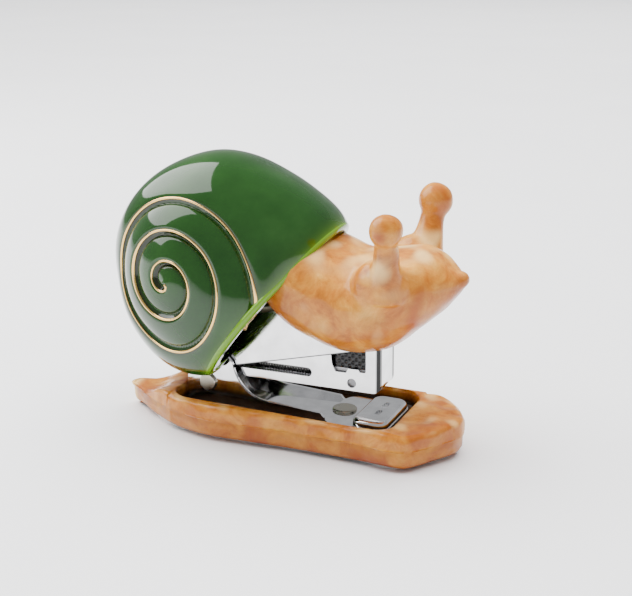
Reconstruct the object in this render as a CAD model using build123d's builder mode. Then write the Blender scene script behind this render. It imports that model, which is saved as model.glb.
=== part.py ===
"""Snail-shaped mini stapler: a chrome No. 10 stapler in a glazed snail.

Frame: millimetres, +X towards the head, +Y to the snail's left, +Z up.
The origin is on the table, under the middle of the object.
"""
from build123d import *
import os
from math import cos, radians, sin

os.makedirs("parts", exist_ok=True)

# ---------------------------------------------------------------- driving sizes
# Pivot of the stapler, shared by the magazine and the handle
PIVOT_X = -21.9
PIVOT_Z = 13.0
PIN_R = 2.0
RUNNING_FIT = 0.05
MAGAZINE_TILT = 1.2
HANDLE_TILT = 14.5

# Foot and what stands on it
PAD_T = 0.8
FOOT_TOP = 10.5
FOOT_REAR = -51.5
FOOT_FRONT = 52.0
FOOT_HALF_W = 19.6
TRAY_FLOOR = 6.3
TRAY_REAR = -30.5
TRAY_FRONT = 35.7
TRAY_HALF_W = 15.5

# Base plate of the stapler
SHEET = 0.8
PLATE_T = 1.0
PLATE_TOP = 8.1
PLATE_REAR = -28.5
PLATE_FRONT = 33.3
EAR_IN = 7.0
EAR_OUT = 8.0
ANVIL_HALF_W = 10.9
ANVIL_TOP = 10.1
ANVIL_REAR = 22.5
RIVET_X = 17.2
LEAF_RIVET_X = -9.5
LEAF_T = 0.35
CLINCH_X = 28.3

# Magazine, along (u) and above (v) the line through the pivot
MAG_OUT = 5.4
MAG_IN = MAG_OUT - SHEET
MAG_BOTTOM = 2.4
MAG_FLOOR = MAG_BOTTOM + SHEET
MAG_FRONT = 51.6
TOWER_REAR = 47.4
TOWER_TOP = 16.75
WINDOW_REAR = 37.4
SLOT_V = 6.1
SLOT_R = 1.3
LOBE_R = 3.4

# Staples, rail, follower
RAIL_OUT = 3.8
RAIL_IN = 3.0
RAIL_TOP = 8.0
RAIL_REAR = 9.0
RAIL_FRONT = 48.9
STAPLE_OUT = 4.5
STAPLE_WIRE = 0.5
STRIP_REAR = 37.3
STRIP_FRONT = 48.8
STRIP_TOP = 8.6
FOLLOWER_REAR = 31.8
SADDLE_REAR = 32.6
SADDLE_FRONT = 37.2
SADDLE_TOP = 8.55
SADDLE_IN = 3.95
SADDLE_OUT = 4.4
ROD_V = 5.2
ROD_R = 0.8
STOP_FRONT = 12.8
SPRING_R = 1.65
SPRING_WIRE_R = 0.22
SPRING_TURNS = 22

# Handle, along (u) and above (v) its own line through the pivot
HANDLE_IN = 5.7
HANDLE_OUT = HANDLE_IN + SHEET
HANDLE_LOW = 3.54
HANDLE_FRONT = 46.5
HANDLE_ROOF = 17.7
BLADE_U = 50.1
BLADE_T = 0.4
BLADE_TIP = 1.7
BLADE_HALF_W = 4.4
BLADE_FLANGE_REAR = 39.5
RIVETS_U = (41.8, 44.6)
RIVET_R = 0.9
RIVET_HEAD_R = 1.3
RIVET_HEAD_T = 0.4
GLUE_REAR = 16.0
GLUE_FRONT = 39.2
GLUE_HALF_W = 5.0
POCKET_HALF_W = 7.0
POCKET_R = 55.2
POCKET_ROOF = 18.9

# Snail shell
SHELL_X = -20.2
SHELL_Z = 47.6
SHELL_R = 32.1
SHELL_HALF_W = 26.5
SHELL_WALL = 3.0
LIP_X = 17.0
LIP_Z = 62.5
APERTURE_TILT = 52.3
EAR_SLOT = 10.2

# Head
EYE_R = 5.0
EYE_X = 35.2
EYE_Y = 20.0
EYE_Z = 66.2
NOSE_X = 52.0
NOSE_Z = 50.3


def side_plane(tilt, y=0.0):
    """A plane through the pivot: local x runs forward at this tilt, local y up."""
    a = radians(tilt)
    return Plane(origin=(PIVOT_X, y, PIVOT_Z), x_dir=(cos(a), 0, sin(a)), z_dir=(0, -1, 0))


def at(tilt, u, v):
    """X and Z of a point u forward and v above the tilted line through the pivot."""
    a = radians(tilt)
    return PIVOT_X + u * cos(a) - v * sin(a), PIVOT_Z + u * sin(a) + v * cos(a)


def side_rectangle(plane, rear, low, front, high):
    """A rectangle on a side plane, from its rear lower to its front upper corner."""
    with BuildSketch(plane) as flat:
        with Locations(((rear + front) / 2, (low + high) / 2)):
            Rectangle(front - rear, high - low)
    return flat.sketch


def roof_plane(u, v):
    """A plane that lies along the handle's roof, with its normal away from the magazine."""
    x, z = at(HANDLE_TILT, u, v)
    return Plane(origin=(x, 0, z), x_dir=(0, 1, 0), z_dir=HANDLE.y_dir)


def save(part, name):
    part.label = name
    export_step(part, f"parts/{name}.step")


MAG = side_plane(MAGAZINE_TILT)
HANDLE = side_plane(HANDLE_TILT)
SIDE = side_plane(0)
UPRIGHT = Plane.XZ


# ---------------------------------------------------------------- foot
def foot_outline(z, inset):
    """Plan of the foot at a height, pinched at the tail and blunt at the front."""
    w = FOOT_HALF_W - inset
    rear = FOOT_REAR + inset
    front = FOOT_FRONT - inset
    left = [
        (rear + 1.2, 3.4 - inset * 0.3),
        (rear + 6, 7.4 - inset * 0.5),
        (-38, 13.0 - inset),
        (-28, 18.0 - inset),
        (-17, w),
        (-4, w - 0.7),
        (12, w - 1.6),
        (28, w - 1.7),
        (39, w - 1.9),
        (front - 6.6, w - 5.5),
        (front - 2.0, w - 11.5),
    ]
    right = [(x, -y) for x, y in reversed(left)]
    with BuildSketch(Plane.XY.offset(z)) as outline:
        with BuildLine():
            Spline((rear, 0), *left, (front, 0), *right, periodic=True)
        make_face()
    return outline.sketch


with BuildPart() as foot_pad:
    add(foot_outline(0, 3.6))
    extrude(amount=PAD_T)
save(foot_pad.part, "foot_pad")

with BuildPart() as foot:
    for z, inset in ((PAD_T, 2.2), (3.0, 0.6), (5.2, 0), (8.6, 0.5), (FOOT_TOP, 2.4)):
        add(foot_outline(z, inset))
    loft()
    with BuildSketch(Plane.XY.offset(FOOT_TOP)):
        with Locations(((TRAY_REAR + TRAY_FRONT) / 2, 0)):
            RectangleRounded(TRAY_FRONT - TRAY_REAR, 2 * TRAY_HALF_W, 6)
    extrude(amount=TRAY_FLOOR - FOOT_TOP, mode=Mode.SUBTRACT)
save(foot.part, "foot")

with BuildPart() as base_glue_bed:
    with BuildSketch(Plane.XY.offset(TRAY_FLOOR)):
        with Locations((3.5, 0)):
            RectangleRounded(52, 13, 3)
    extrude(amount=PLATE_TOP - PLATE_T - TRAY_FLOOR)
save(base_glue_bed.part, "base_glue_bed")


# ---------------------------------------------------------------- base plate
with BuildPart() as base_plate:
    with BuildSketch(Plane.XY.offset(PLATE_TOP)):
        with Locations(((PLATE_REAR + RIVET_X) / 2, 0)):
            Rectangle(RIVET_X - PLATE_REAR, 2 * EAR_OUT)
        with Locations(((14.5 + PLATE_FRONT) / 2, 0)):
            RectangleRounded(PLATE_FRONT - 14.5, 2 * ANVIL_HALF_W, 3.5)
    extrude(amount=-PLATE_T)
    # Ears that carry the pivot pin, running forward as low flanges
    with BuildSketch(UPRIGHT.offset(-EAR_OUT)):
        with BuildLine():
            Polyline(
                (-14.3, 19.9),
                (-15.6, 21.3),
                (-26.5, 21.3),
                (PLATE_REAR, 19.3),
                (PLATE_REAR, PLATE_TOP),
                (14.0, PLATE_TOP),
                (13.0, 9.2),
                (-3.0, 9.9),
            )
            Spline(
                (-3.0, 9.9),
                (-8.7, 11.4),
                (-12.4, 15.0),
                (-14.3, 19.9),
                tangents=[(-1, 0.04), (-0.25, 1)],
            )
        make_face()
    extrude(amount=2 * EAR_OUT)
    with BuildSketch(Plane.XY.offset(PLATE_TOP)):
        Rectangle(80, 2 * EAR_IN)
    extrude(amount=20, mode=Mode.SUBTRACT)
    with BuildSketch(SIDE):
        Circle(PIN_R)
    extrude(amount=20, both=True, mode=Mode.SUBTRACT)
    with Locations((RIVET_X, 0, PLATE_TOP)):
        Hole(1.6, depth=PLATE_T)
    with Locations((LEAF_RIVET_X, 0, PLATE_TOP)):
        Hole(1.2, depth=PLATE_T)
save(base_plate.part, "base_plate")

with BuildPart() as anvil_plate:
    with BuildSketch(Plane.XY.offset(PLATE_TOP)):
        with Locations(((ANVIL_REAR + PLATE_FRONT) / 2, 0)):
            RectangleRounded(PLATE_FRONT - ANVIL_REAR - 0.4, 2 * ANVIL_HALF_W - 0.8, 3.3)
    extrude(amount=ANVIL_TOP - PLATE_TOP)
    fillet(anvil_plate.faces().sort_by(Axis.Z)[-1].edges(), radius=1.2)
    # Two curved pockets that fold the staple legs inwards
    for side in (-1, 1):
        with BuildSketch(Plane.XY.offset(ANVIL_TOP - 0.7)):
            with Locations((CLINCH_X, side * 3.1)):
                SlotOverall(4.6, 1.6, rotation=90)
        extrude(amount=2, mode=Mode.SUBTRACT)
save(anvil_plate.part, "anvil_plate")

with BuildPart() as anvil_rivet:
    with BuildSketch(Plane.XY.offset(PLATE_TOP - PLATE_T)):
        with Locations((RIVET_X, 0)):
            Circle(1.6)
    extrude(amount=PLATE_T)
    with BuildSketch(Plane.XY.offset(PLATE_TOP)):
        with Locations((RIVET_X, 0)):
            Circle(3.5)
    extrude(amount=0.7)
    fillet(anvil_rivet.faces().sort_by(Axis.Z)[-1].edges(), radius=0.5)
save(anvil_rivet.part, "anvil_rivet")


# ---------------------------------------------------------------- base fittings
with BuildPart() as return_leaf_spring:
    with BuildSketch(UPRIGHT):
        with BuildLine():
            flat = Line((-6.5, PLATE_TOP + LEAF_T / 2), (-11.5, PLATE_TOP + LEAF_T / 2))
            back = TangentArc(flat @ 1, (-14.5, 14.0), tangent=flat % 1)
            TangentArc(back @ 1, (-11.6, 15.1), tangent=back % 1)
        trace(line_width=LEAF_T)
    extrude(amount=3.0, both=True)
    with Locations((LEAF_RIVET_X, 0, PLATE_TOP + LEAF_T)):
        Hole(1.2, depth=LEAF_T)
save(return_leaf_spring.part, "return_leaf_spring")

with BuildPart() as leaf_spring_rivet:
    with BuildSketch(Plane.XY.offset(PLATE_TOP - PLATE_T)):
        with Locations((LEAF_RIVET_X, 0)):
            Circle(1.2)
    extrude(amount=PLATE_T + LEAF_T)
    with BuildSketch(Plane.XY.offset(PLATE_TOP + LEAF_T)):
        with Locations((LEAF_RIVET_X, 0)):
            Circle(2.0)
    extrude(amount=0.6)
    fillet(leaf_spring_rivet.faces().sort_by(Axis.Z)[-1].edges(), radius=0.4)
save(leaf_spring_rivet.part, "leaf_spring_rivet")

with BuildPart() as pivot_pin:
    with BuildSketch(SIDE):
        Circle(PIN_R)
    extrude(amount=EAR_OUT, both=True)
    for side in (-1, 1):
        with BuildSketch(side_plane(0, side * EAR_OUT)):
            Circle(2.6)
        extrude(amount=-0.8 * side)
    ends = pivot_pin.faces().sort_by(Axis.Y)
    fillet((ends[0].edges() + ends[-1].edges()), radius=0.4)
save(pivot_pin.part, "pivot_pin")


# ---------------------------------------------------------------- magazine
with BuildPart() as magazine:
    with BuildSketch(MAG):
        with BuildLine():
            FilletPolyline(
                (-LOBE_R, 6.5),
                (-LOBE_R, 0.0),
                (LOBE_R, 0.0),
                (7.0, MAG_BOTTOM),
                (MAG_FRONT, MAG_BOTTOM),
                (MAG_FRONT, TOWER_TOP),
                (TOWER_REAR, TOWER_TOP),
                (TOWER_REAR, 8.0),
                (45.6, 8.0),
                (45.2, 8.7),
                (42.2, 8.7),
                (41.6, 7.4),
                (38.4, 7.4),
                (WINDOW_REAR, 9.5),
                (37.0, 13.2),
                (34.0, 13.4),
                (6.0, 9.8),
                radius=[1.5, 0.3, 0.3, 2, 2.2, 0.6, 2.3, 0.6, 0.2, 0.2, 0.4, 0.5, 0.5, 1, 1, 1, 2],
                close=True,
            )
        make_face()
        Circle(LOBE_R)
    extrude(amount=MAG_OUT, both=True)
    # Hollow: open behind the floor, above the floor, and in the slot of the driver blade
    with BuildSketch(MAG):
        with BuildLine():
            Polyline(
                (-10, -10),
                (6.5, -10),
                (6.5, MAG_FLOOR),
                (RAIL_FRONT, MAG_FLOOR),
                (RAIL_FRONT, -10),
                (MAG_FRONT - SHEET, -10),
                (MAG_FRONT - SHEET, 30),
                (-10, 30),
                close=True,
            )
        make_face()
    extrude(amount=MAG_IN, both=True, mode=Mode.SUBTRACT)
    with BuildSketch(MAG):
        with Locations((18.85, SLOT_V)):
            SlotOverall(24.9, 2 * SLOT_R)
        with Locations((43.2, 4.6)):
            Circle(1.35)
        Circle(PIN_R + RUNNING_FIT)
    extrude(amount=20, both=True, mode=Mode.SUBTRACT)
save(magazine.part, "magazine")

with BuildPart() as staple_rail:
    extrude(side_rectangle(MAG, RAIL_REAR, MAG_FLOOR, RAIL_FRONT, RAIL_TOP), amount=RAIL_OUT, both=True)
    extrude(side_rectangle(MAG, 0, 0, 60, RAIL_TOP - SHEET), amount=RAIL_IN, both=True, mode=Mode.SUBTRACT)
    # Side slots that the follower's cross bar runs in
    extrude(side_rectangle(MAG, 0, 4.8, 37.7, RAIL_TOP - SHEET), amount=10, both=True, mode=Mode.SUBTRACT)
save(staple_rail.part, "staple_rail")

with BuildPart() as rear_stop:
    seat = side_rectangle(MAG, RAIL_REAR, MAG_FLOOR, STOP_FRONT, RAIL_TOP - SHEET)
    extrude(seat, amount=RAIL_IN, both=True)
    x, z = at(MAGAZINE_TILT, RAIL_REAR + 0.6, ROD_V)
    across = Plane(origin=(x, 0, z), x_dir=(0, 1, 0), z_dir=MAG.x_dir)
    with BuildSketch(across):
        Circle(ROD_R)
    extrude(amount=20, mode=Mode.SUBTRACT)
save(rear_stop.part, "rear_stop")

with BuildPart() as guide_rod:
    with BuildSketch(across):
        Circle(ROD_R)
    extrude(amount=31.2)
    tip = guide_rod.faces().sort_by(Axis.X)[-1]
    fillet(tip.edges(), radius=0.5)
save(guide_rod.part, "guide_rod")

with BuildPart() as staple_strip:
    extrude(side_rectangle(MAG, STRIP_REAR, MAG_FLOOR, STRIP_FRONT, STRIP_TOP), amount=STAPLE_OUT, both=True)
    between_legs = side_rectangle(MAG, 0, 0, 60, STRIP_TOP - STAPLE_WIRE)
    extrude(between_legs, amount=STAPLE_OUT - STAPLE_WIRE, both=True, mode=Mode.SUBTRACT)
save(staple_strip.part, "staple_strip")

with BuildPart() as blade_guide_block:
    with BuildSketch(MAG):
        with BuildLine():
            FilletPolyline(
                (38.2, 8.8),
                (48.5, 8.8),
                (48.5, 12.0),
                (47.1, 12.4),
                (47.1, 16.2),
                (45.0, 16.2),
                (38.2, 14.4),
                radius=[0.5, 0.3, 0.3, 0.3, 0.6, 1.5, 1.5],
                close=True,
            )
        make_face()
    extrude(amount=MAG_IN, both=True)
save(blade_guide_block.part, "blade_guide_block")


# ---------------------------------------------------------------- follower
with BuildPart() as follower:
    # Tongue inside the rail
    extrude(side_rectangle(MAG, FOLLOWER_REAR, 3.5, 36.5, 7.0), amount=2.8, both=True)
    # Cross bar through the slots of the rail
    extrude(side_rectangle(MAG, SADDLE_REAR, 5.1, 36.5, 7.0), amount=4.2, both=True)
    # Saddle over the rail, which pushes the staples
    for side in (-1, 1):
        inner_side = side_plane(MAGAZINE_TILT, side * SADDLE_IN)
        cheek = side_rectangle(inner_side, SADDLE_REAR, 3.6, SADDLE_FRONT, SADDLE_TOP)
        extrude(cheek, amount=(SADDLE_IN - SADDLE_OUT) * side)
    extrude(side_rectangle(MAG, SADDLE_REAR, 8.15, SADDLE_FRONT, SADDLE_TOP), amount=SADDLE_OUT, both=True)
    with BuildSketch(across):
        Circle(ROD_R + RUNNING_FIT)
    extrude(amount=40, mode=Mode.SUBTRACT)
save(follower.part, "follower")

SPRING_REAR = STOP_FRONT + SPRING_WIRE_R + 0.05
SPRING_LENGTH = FOLLOWER_REAR - STOP_FRONT - 2 * (SPRING_WIRE_R + 0.05)
x, z = at(MAGAZINE_TILT, SPRING_REAR, ROD_V)
with BuildPart() as follower_spring:
    with BuildLine() as coil:
        Helix(
            pitch=SPRING_LENGTH / SPRING_TURNS,
            height=SPRING_LENGTH,
            radius=SPRING_R,
            center=(x, 0, z),
            direction=MAG.x_dir,
        )
    with BuildSketch(Plane(origin=coil.line @ 0, z_dir=coil.line % 0)):
        Circle(SPRING_WIRE_R)
    sweep(is_frenet=True)
save(follower_spring.part, "follower_spring")


# ---------------------------------------------------------------- handle
ROOF_SLOPE_FOOT = (-3.6, 7.5)
ROOF_REAR = 14.0
slope = (HANDLE_ROOF - ROOF_SLOPE_FOOT[1]) / (ROOF_REAR - ROOF_SLOPE_FOOT[0])
with BuildPart() as handle:
    with BuildSketch(HANDLE):
        with BuildLine():
            FilletPolyline(
                ROOF_SLOPE_FOOT,
                (-3.6, 0.0),
                (3.6, 0.0),
                (6.5, HANDLE_LOW),
                (HANDLE_FRONT, HANDLE_LOW),
                (HANDLE_FRONT, HANDLE_ROOF),
                (ROOF_REAR, HANDLE_ROOF),
                radius=[1.5, 0.3, 0.3, 2, 0.8, 0.3, 4],
                close=True,
            )
        make_face()
        Circle(3.6)
    extrude(amount=HANDLE_OUT, both=True)
    with BuildSketch(HANDLE):
        with BuildLine():
            FilletPolyline(
                (-12, -12),
                (60, -12),
                (60, HANDLE_ROOF - SHEET),
                (ROOF_REAR - 0.2, HANDLE_ROOF - SHEET),
                (-12, HANDLE_ROOF - SHEET - (ROOF_REAR + 11.8) * slope),
                radius=[1, 1, 0.1, 4, 1],
                close=True,
            )
        make_face()
    extrude(amount=HANDLE_IN, both=True, mode=Mode.SUBTRACT)
    with BuildSketch(HANDLE):
        Circle(PIN_R + RUNNING_FIT)
    extrude(amount=20, both=True, mode=Mode.SUBTRACT)
    for u in RIVETS_U:
        with BuildSketch(roof_plane(u, HANDLE_ROOF)):
            Circle(RIVET_R)
        extrude(amount=2, both=True, mode=Mode.SUBTRACT)
save(handle.part, "handle")

with BuildPart() as driver_blade:
    with BuildSketch(HANDLE):
        with BuildLine():
            Polyline(
                (BLADE_FLANGE_REAR, HANDLE_ROOF),
                (BLADE_U, HANDLE_ROOF),
                (BLADE_U, BLADE_TIP),
                (BLADE_U + BLADE_T, BLADE_TIP),
                (BLADE_U + BLADE_T, HANDLE_ROOF + BLADE_T),
                (BLADE_FLANGE_REAR, HANDLE_ROOF + BLADE_T),
                close=True,
            )
        make_face()
    extrude(amount=BLADE_HALF_W, both=True)
    for u in RIVETS_U:
        with BuildSketch(roof_plane(u, HANDLE_ROOF)):
            Circle(RIVET_R)
        extrude(amount=2, both=True, mode=Mode.SUBTRACT)
save(driver_blade.part, "driver_blade")

with BuildPart() as driver_rivets:
    inside = HANDLE_ROOF - SHEET
    for u in RIVETS_U:
        for v, radius, height in (
            (inside - RIVET_HEAD_T, RIVET_HEAD_R, RIVET_HEAD_T),
            (inside, RIVET_R, SHEET + BLADE_T),
            (HANDLE_ROOF + BLADE_T, RIVET_HEAD_R, RIVET_HEAD_T),
        ):
            with BuildSketch(roof_plane(u, v)):
                Circle(radius)
            extrude(amount=height)
save(driver_rivets.part, "driver_rivets")

with BuildPart() as handle_glue_bed:
    bed = side_rectangle(HANDLE, GLUE_REAR, HANDLE_ROOF, GLUE_FRONT, POCKET_ROOF)
    extrude(bed, amount=GLUE_HALF_W, both=True)
save(handle_glue_bed.part, "handle_glue_bed")

# Torsion spring round the pin: one leg on the magazine floor, one under the handle roof
TORSION_R = 2.75
TORSION_WIRE_R = 0.35
with BuildPart() as handle_spring:
    with BuildSketch(SIDE):
        Circle(TORSION_R + TORSION_WIRE_R)
        Circle(TORSION_R - TORSION_WIRE_R, mode=Mode.SUBTRACT)
    extrude(amount=3.4, both=True)
    for plane, y, start, end in (
        (MAGAZINE_TILT, -3.0, (0.0, 2.75), (8.3, 4.0)),
        (HANDLE_TILT, 3.0, (-1.2, 2.4), (9.5, 13.2)),
    ):
        with BuildSketch(side_plane(plane, y)):
            with BuildLine():
                Line(start, end)
            trace(line_width=2 * TORSION_WIRE_R)
        extrude(amount=TORSION_WIRE_R, both=True)
save(handle_spring.part, "handle_spring")


# ---------------------------------------------------------------- shell
def shell_body(inset):
    """The outer body of the shell drawn this far inside: two whorled sides and the hood."""
    r = SHELL_R - inset
    w = SHELL_HALF_W - inset
    reach = [(4, 31, 25), (14, 28.3, 24), (25.5, 20.3, 21.5), (34.3, 10.8, 16.5), (39.4, 3.4, 10)]
    hood_dir = Vector(LIP_X - SHELL_X, 0, LIP_Z - SHELL_Z).normalized()
    with BuildPart() as body:
        with BuildSketch(Plane(origin=(SHELL_X, 0, SHELL_Z), x_dir=(0, 1, 0), z_dir=(1, 0, 0))):
            with BuildLine():
                Polyline((w, 0), (0, 0), (0, r))
                Spline(
                    (0, r),
                    (w * 0.46, r * 0.84),
                    (w * 0.76, r * 0.52),
                    (w, 0),
                    tangents=[(1, 0), (0.25, -1)],
                )
            make_face()
        revolve(axis=Axis((SHELL_X, 0, SHELL_Z), (0, 1, 0)))
        mirror(about=Plane.XZ)
    with BuildPart() as hood:
        for along, half_height, half_width in reach:
            centre = Vector(SHELL_X, 0, SHELL_Z) + hood_dir * along
            with BuildSketch(Plane(origin=centre, x_dir=(0, 1, 0), z_dir=hood_dir)):
                Ellipse(max(half_width - inset, 1), max(half_height - inset, 1))
        loft()
    return body.part + hood.part


spire = shell_body(0)
cavity = shell_body(SHELL_WALL)
a = radians(APERTURE_TILT)
aperture = Plane(origin=(LIP_X, 0, LIP_Z), x_dir=(0, 1, 0), z_dir=(sin(a), 0, -cos(a)))
with BuildPart() as shell:
    add(spire)
    add(cavity, mode=Mode.SUBTRACT)
    with BuildSketch(aperture):
        Rectangle(200, 200)
    extrude(amount=100, mode=Mode.SUBTRACT)
    # Opening below for the ears of the base, and the swept room of the magazine
    with BuildSketch(Plane.XY):
        with Locations((-10, 0)):
            RectangleRounded(52, 2 * EAR_SLOT, 4)
    extrude(amount=31, mode=Mode.SUBTRACT)
save(shell.part, "shell")


# ---------------------------------------------------------------- gold spiral
def spiral_trim(name, side):
    """A raised gold line on one face of the shell, made of half circles that grow."""
    step = 1.25
    with BuildPart() as line:
        add(shell_body(-0.35))
        add(spire, mode=Mode.SUBTRACT)
        with BuildSketch(Plane.XZ.offset(0) if side < 0 else Plane.XZ.offset(-60)):
            with BuildLine(mode=Mode.PRIVATE) as path:
                for k in range(7):
                    middle = SHELL_X + (step if k % 2 else -step)
                    CenterArc((middle, SHELL_Z), 1.6 + 2 * step * k, 180 * (k % 2), -180)
            trace(path.line, line_width=0.9)
        extrude(amount=60, mode=Mode.INTERSECT)
    save(line.part, name)


spiral_trim("spiral_trim_right", -1)
spiral_trim("spiral_trim_left", 1)


# ---------------------------------------------------------------- head
HEAD_SECTIONS = [
    (-2.0, 53.0, 42.0, 12.0),
    (5.0, 57.0, 36.5, 16.5),
    (13.0, 55.3, 30.2, 18.5),
    (22.0, 54.0, 27.9, 19.0),
    (31.0, 55.0, 30.0, 18.0),
    (38.5, 56.6, 35.4, 15.5),
    (45.0, 57.0, 41.6, 10.5),
    (49.5, 54.6, 45.8, 6.0),
    (51.2, 52.0, 48.0, 2.6),
]
with BuildPart() as head:
    for x, top, bottom, half_width in HEAD_SECTIONS:
        with BuildSketch(Plane(origin=(x, 0, (top + bottom) / 2), x_dir=(0, 1, 0), z_dir=(1, 0, 0))):
            Ellipse(half_width, (top - bottom) / 2)
    loft()
    with Locations((NOSE_X - 2.6, 0, NOSE_Z)):
        Sphere(2.8)
    for side in (-1, 1):
        root = Vector(30.5, side * 8.5, 49.0)
        eye = Vector(EYE_X, side * EYE_Y, EYE_Z)
        for origin, radius in ((root, 5.0), ((root + eye) / 2, 3.3), (eye, 3.0)):
            with BuildSketch(Plane(origin=origin, z_dir=eye - root)):
                Circle(radius)
        loft()
        with Locations(eye):
            Sphere(EYE_R)
    # Pocket for the handle, round enough for the front of the magazine to swing in
    with BuildSketch(HANDLE):
        Circle(POCKET_R)
        with Locations((0, POCKET_ROOF + 100)):
            Rectangle(400, 200, mode=Mode.SUBTRACT)
    extrude(amount=POCKET_HALF_W, both=True, mode=Mode.SUBTRACT)
    add(shell.part, mode=Mode.SUBTRACT)
save(head.part, "head")
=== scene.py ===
"""Looks of the snail mini stapler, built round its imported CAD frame.

Lengths are in millimetres until a mesh is made. +X runs to the head, +Y to the snail's left, +Z up.
"""
import math

import bmesh
import bpy
import numpy as np
from mathutils import Matrix, Vector, noise
from mathutils.bvhtree import BVHTree


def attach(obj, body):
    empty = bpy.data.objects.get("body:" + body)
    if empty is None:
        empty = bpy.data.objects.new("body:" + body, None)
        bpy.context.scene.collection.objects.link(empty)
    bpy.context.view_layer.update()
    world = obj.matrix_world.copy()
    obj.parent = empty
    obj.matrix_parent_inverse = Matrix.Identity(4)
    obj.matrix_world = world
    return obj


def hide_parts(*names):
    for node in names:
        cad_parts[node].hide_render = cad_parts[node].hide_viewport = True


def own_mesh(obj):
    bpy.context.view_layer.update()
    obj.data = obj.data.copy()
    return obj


MM = 0.001
MIRROR = np.array([1.0, -1.0, 1.0])
ACROSS = np.array([0.0, 1.0, 0.0])

# Stapler, as in the CAD model
PIVOT = np.array([-21.9, 0.0, 13.0])
HANDLE_TILT = math.radians(14.5)
MAGAZINE_TILT = math.radians(1.2)
HANDLE_LOW = 3.54
MAGAZINE_FRONT = 51.6
MAGAZINE_HALF_W = 5.4

# Shell: two leaning spires under one hood
SHELL_CORE = np.array([-20.0, 0.0, 46.0])
SPIRE_CENTRE = np.array([-23.2, -5.4, 46.9])
SPIRE_LEAN = math.radians(22.35)
SPIRE_TIP_UP = math.radians(16.56)
SPIRE_R = 31.3
SPIRE_H = 15.2
HOOD_HALF_W = 23.5
HOOD_POWER = 2.2
SKIN_BLEND = 1.2
SHELL_WALL = 3.0
LIP = np.array([17.0, 0.0, 62.5])
APERTURE_TILT = math.radians(52.3)
APERTURE_OUT = np.array([math.sin(APERTURE_TILT), 0.0, -math.cos(APERTURE_TILT)])
SLOT_OUTLINE = ((-36, -5), (16, -5), (16, 31), (-36, 31))
SLOT_HALF_W = 10.2
RIDGE = (
    (16.6, 60.8), (15.2, 63.0), (7.4, 68.9), (-4.0, 74.7), (-19.7, 78.9), (-33.9, 74.7),
    (-47.0, 62.2), (-52.0, 44.0), (-48.0, 27.0), (-38.0, 18.5), (-25.0, 16.0), (-10.0, 18.0),
    (4.0, 27.0), (14.0, 42.0),
)
RIDGE_STEPS = 720
RIDGE_SOFTEN = 61
RIM_STEPS = 1440
BEAD_STEP = 4
BEAD_INSET = 1.5
BEAD_HALF_W = 1.75
BEAD_HEIGHT = 1.1

# Spiral on each face
SPIRAL_OFFSET = (2.51, -6.39)
SPIRAL_PITCH = 7.5
SPIRAL_POWER = 1.12
SPIRAL_PHASE = 357.0
SPIRAL_START = 0.12
SPIRAL_END = 3.05
SPIRAL_POINTS = 420
GROOVE_DEPTH = 0.55
GROOVE_HALF_W = 0.7
WHORL_ROLL = 1.5
ROLL_IN = 0.9
ROLL_OUT = 4.2
ROLL_OUT_POWER = 1.1
GOLD_HEIGHT = 0.34

# Springs, as in the CAD model
COIL_REAR = 13.07
COIL_V = 5.2
COIL_LENGTH = 18.46
COIL_R = 1.65
COIL_WIRE_R = 0.22
COIL_TURNS = 22
TORSION_R = 2.75
TORSION_WIRE_R = 0.35
TORSION_TURNS = 7.5
TORSION_HALF_W = 3.2
TORSION_POINTS = 300
LOWER_LEG = ((0.0, 2.75), (4.0, 3.35), (8.3, 4.0))
UPPER_LEG = ((-1.2, 2.4), (4.0, 7.6), (9.5, 13.0))
LEG_Y = 3.0
LEAF_LINE = (
    (-6.5, 8.28), (-9.0, 8.28), (-11.5, 8.3), (-13.4, 9.2),
    (-14.7, 11.2), (-14.6, 13.6), (-13.2, 14.9), (-11.6, 15.0),
)
LEAF_HALF_W = 3.0
LEAF_T = 0.35

# Head: X, top, bottom and half width of each section
HEAD_SECTIONS = (
    (-3.0, 58.0, 38.0, 14.0),
    (4.0, 60.6, 32.6, 17.4),
    (13.0, 58.6, 28.8, 18.4),
    (22.0, 55.4, 27.6, 19.2),
    (31.0, 56.6, 29.6, 18.8),
    (38.5, 57.4, 35.0, 16.0),
    (44.0, 55.6, 40.4, 11.5),
    (48.4, 52.6, 45.4, 5.8),
    (50.2, 51.0, 47.8, 2.4),
)
SECTION_POWER = 0.92
EYE = (35.2, 20.0, 66.2)
EYE_RADII = {-1: 4.5, 1: 5.0}
STALK_RADII = {-1: 2.9, 1: 3.4}
STALK_ROOT = (33.8, 14.6, 48.0)
STALK_FLARE = 3.2
CHEEK = (32.0, 14.0, 49.5)
CHEEK_RADII = (8.0, 6.0, 8.0)
NOSE = (49.4, 0.0, 50.3)
NOSE_RADII = (2.4, 2.6, 2.4)
POCKET_HALF_W = 7.0
POCKET_R = 55.2
POCKET_ROOF = 18.9
POCKET_LOW = math.radians(-30)

# Foot
FOOT_PLAN = (
    (-51.6, -1.5), (-50.4, -4.0), (-45.5, -7.0), (-38.0, -12.4), (-28.0, -17.6), (-17.0, -19.6),
    (-4.0, -18.9), (12.0, -18.0), (28.0, -17.9), (38.0, -18.3), (42.6, -16.6), (47.8, -8.8), (52.0, 0.0),
    (49.4, 8.3), (45.2, 14.1), (39.0, 17.7), (28.0, 17.9), (12.0, 18.0), (-4.0, 18.9), (-17.0, 19.4),
    (-28.0, 16.0), (-38.0, 8.6), (-45.5, 3.2), (-50.6, 1.2),
)
FOOT_TOP = 10.5
PAD_TOP = 0.8
TRAY_FLOOR = 6.3
TRAY_REAR = -30.5
TRAY_FRONT = 35.7
TRAY_HALF_W = 16.0
TRAY_CORNER = 6.0
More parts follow.
